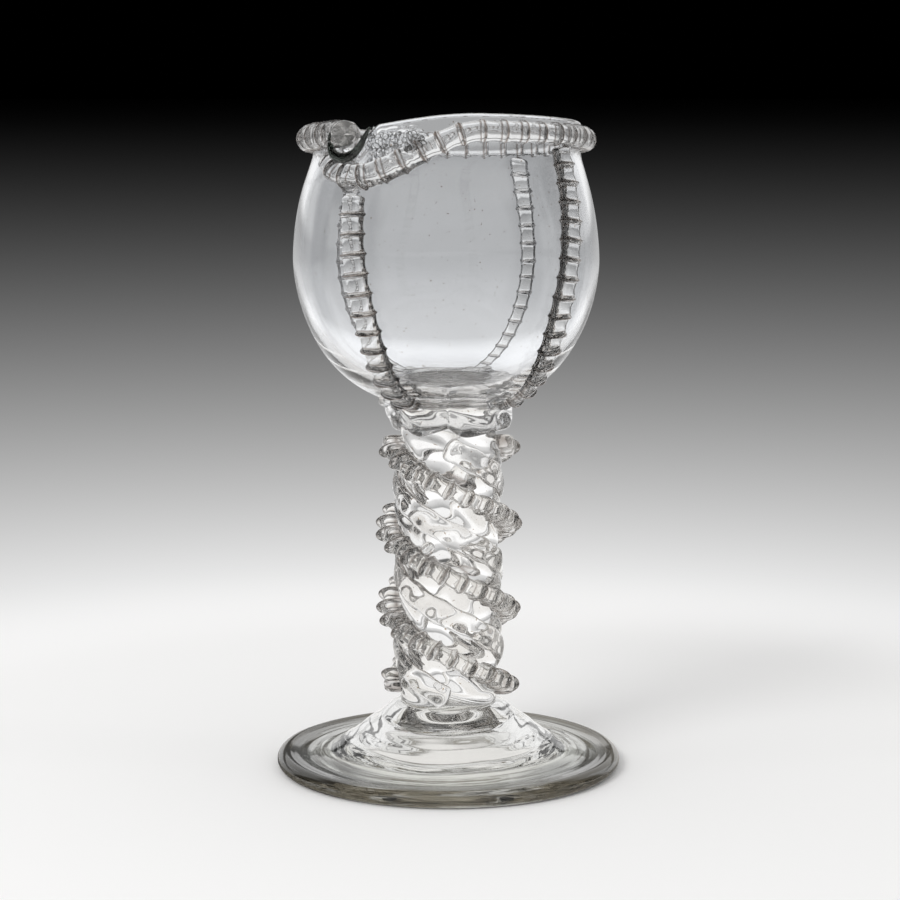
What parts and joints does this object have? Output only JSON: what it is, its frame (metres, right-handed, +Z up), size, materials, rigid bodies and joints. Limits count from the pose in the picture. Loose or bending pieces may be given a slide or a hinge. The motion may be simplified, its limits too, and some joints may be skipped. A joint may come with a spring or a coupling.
{
  "type": "glass libation cup",
  "caption": "Standing glass cup with an egg-shaped bowl, a pouring lip, nipped glass trails, a thick wound stem and a domed foot.",
  "frame": {"origin": "centre of the foot, on the surface the cup stands on", "axes": "+Z up along the stem's axis, -Y towards the front of the cup as pictured, so the pouring lip is at the front left"},
  "size_m": [0.132, 0.132, 0.2499],
  "materials": {
    "bowl_glass": "clear colourless blown glass, fire polished, faint grey haze",
    "trail_glass": "clear colourless glass, nipped hot with pincers, fire polished",
    "stem_glass": "clear colourless blown glass with tool marks, fire polished",
    "foot_glass": "clear glass with a grey tinge where it is thick, faint tool rings"
  },
  "bodies": {
    "root": {"foot": "foot_glass", "stem_core": "stem_glass", "stem_collar": "stem_glass", "pincered_spiral_a": "trail_glass", "pincered_spiral_b": "trail_glass", "smooth_spiral_a": "stem_glass", "smooth_spiral_b": "stem_glass", "bowl": "bowl_glass", "rim_trail": "trail_glass", "bowl_trail_front_left": "trail_glass", "bowl_trail_front_right": "trail_glass", "bowl_trail_back_right": "trail_glass", "bowl_trail_back_left": "trail_glass"}
  },
  "joints": []
}
